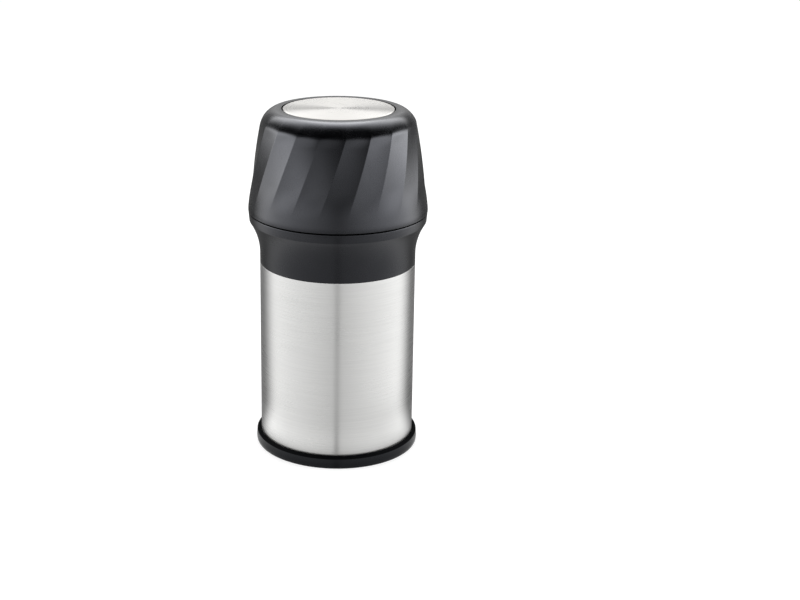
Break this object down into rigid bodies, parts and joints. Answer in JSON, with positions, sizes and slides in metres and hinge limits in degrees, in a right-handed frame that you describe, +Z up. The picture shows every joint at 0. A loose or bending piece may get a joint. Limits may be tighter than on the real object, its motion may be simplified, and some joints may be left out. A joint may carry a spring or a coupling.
{
  "type": "rotary cheese mill",
  "caption": "Upright rotary cheese mill: a faceted twist head with a sprung, spiked plunger turns cheese over a fixed grater disc in a steel-sleeved hopper with a pull-off foot lid.",
  "frame": {"origin": "centre of the foot lid's flat underside, on the mill's axis", "axes": "+Z up along the mill's axis, -Y towards the front of the picture, +X to the right"},
  "size_m": [0.083, 0.083, 0.161],
  "materials": {
    "black_plastic": "satin black",
    "grey_plastic": "fine matte",
    "bearing_plastic": "smooth low friction",
    "silicone": "soft",
    "sleeve_steel": "fine brushing round the tube",
    "disc_steel": "spun",
    "grater_steel": "bright",
    "spring_steel": "drawn wire",
    "screw_steel": "zinc plated"
  },
  "bodies": {
    "lid": {"foot_lid": "black_plastic", "lid_seal": "silicone"},
    "grater": {"grater_carrier": "grey_plastic", "grater_disc": "grater_steel"},
    "mill_body": {"hopper": "grey_plastic", "sleeve": "sleeve_steel", "collar": "black_plastic"},
    "lock": {"lock_ring": "grey_plastic", "neck_seal": "silicone"},
    "head": {"head_shell": "black_plastic", "top_disc": "disc_steel", "head_core": "grey_plastic", "core_screws": "screw_steel", "slip_washer": "bearing_plastic", "retainer_ring": "grey_plastic", "retainer_screws": "screw_steel", "guide_tube": "grey_plastic", "guide_screws": "screw_steel", "main_spring": "spring_steel"},
    "plunger": {"plunger_stem": "grey_plastic", "plunger_plate": "grey_plastic", "plunger_pins": "grater_steel", "plunger_screw": "screw_steel"}
  },
  "joints": [
    {"name": "head_lift", "type": "slide", "parent": "mill_body", "child": "lock", "axis": [0, 0, 1], "range_m": [0, 0.12]},
    {"name": "head_turn", "type": "hinge", "parent": "lock", "child": "head", "pos_m": [0, 0, 0.113], "axis": [0, 0, 1], "continuous": true},
    {"name": "plunger_slide", "type": "slide", "parent": "head", "child": "plunger", "axis": [0, 0, 1], "range_m": [0, 0.059], "stiffness_N_per_m": 150, "springref_m": -0.03, "deforming": ["main_spring"]},
    {"name": "lid_pull", "type": "slide", "parent": "lid", "child": "grater", "axis": [0, 0, 1], "range_m": [0, 0.03]},
    {"name": "grater_pull", "type": "slide", "parent": "grater", "child": "mill_body", "axis": [0, 0, 1], "range_m": [0, 0.03]}
  ]
}
